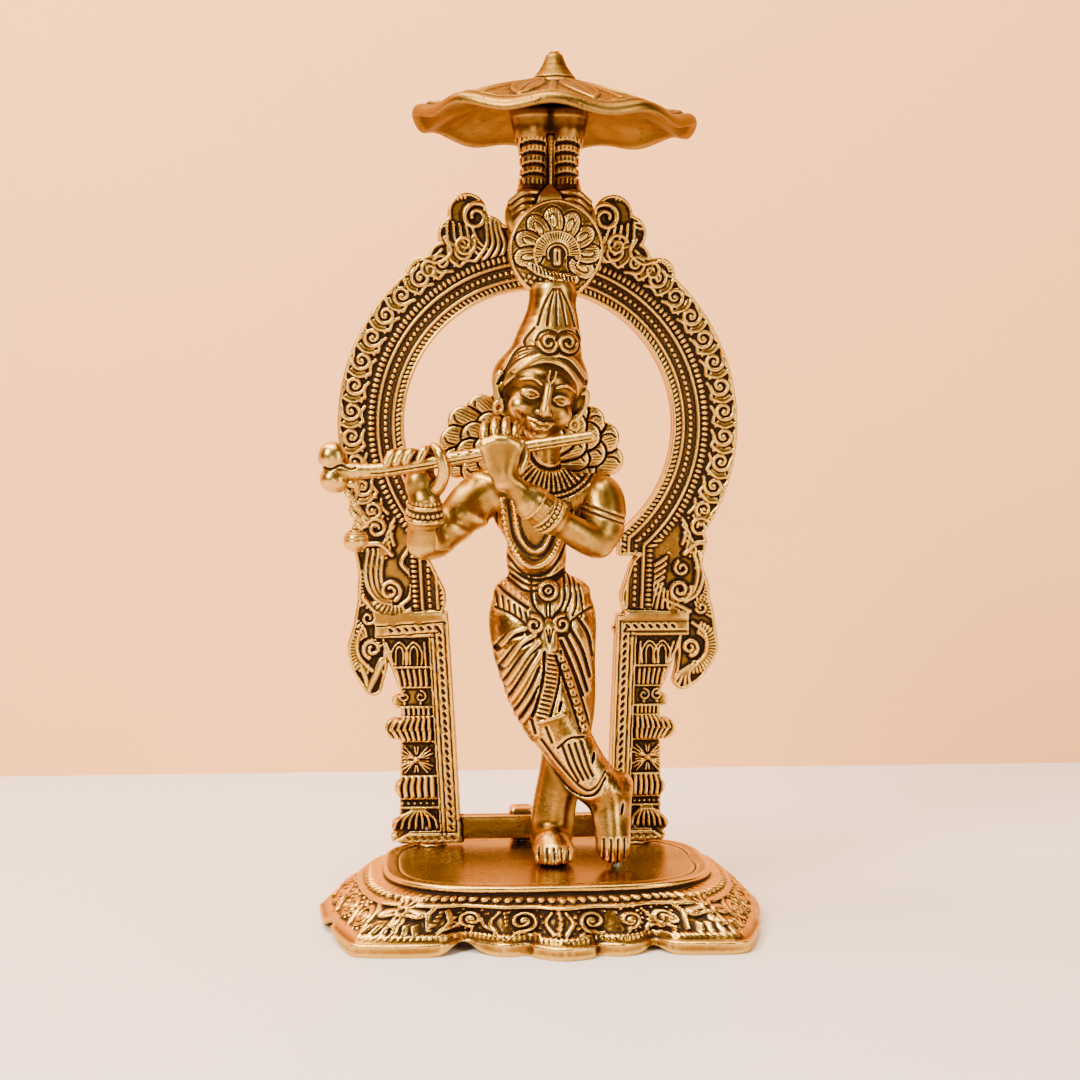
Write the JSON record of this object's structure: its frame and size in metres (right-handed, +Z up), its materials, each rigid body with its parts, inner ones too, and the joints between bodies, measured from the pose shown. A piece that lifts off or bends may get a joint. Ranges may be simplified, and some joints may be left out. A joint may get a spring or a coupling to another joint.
{
  "type": "hindu deity statue",
  "caption": "Antique-gold cast brass deity statue: a flute player with crossed legs on a hollow ornamented base, in front of a horseshoe arch with a round canopy.",
  "frame": {"origin": "centre of the footprint on the resting plane, under the standing figure", "axes": "+Z up, the front of the statue faces -Y, +X to the viewer's right"},
  "size_m": [0.1219, 0.0888, 0.24],
  "materials": {
    "antique_brass": "antique gold with dark patina in the recesses",
    "base_brass": "antique gold, polished coppery platform",
    "canopy_brass": "antique gold, pitted underside",
    "bright_brass": "brighter satin gold",
    "steel_fasteners": "zinc plated"
  },
  "bodies": {
    "root": {"base_casting": "base_brass", "arch_casting": "antique_brass", "canopy_casting": "canopy_brass", "canopy_finial": "canopy_brass", "figure_casting": "antique_brass", "right_arm_casting": "bright_brass", "left_arm_casting": "bright_brass", "flute": "bright_brass", "flute_tassel_cord": "bright_brass", "flute_tassel_bead": "bright_brass", "feather_crest": "antique_brass", "shoulder_ruff": "antique_brass", "figure_screws": "steel_fasteners", "figure_washers": "steel_fasteners", "pillar_screws": "steel_fasteners", "pillar_washers": "steel_fasteners", "arch_lug_screw": "steel_fasteners"}
  },
  "joints": []
}
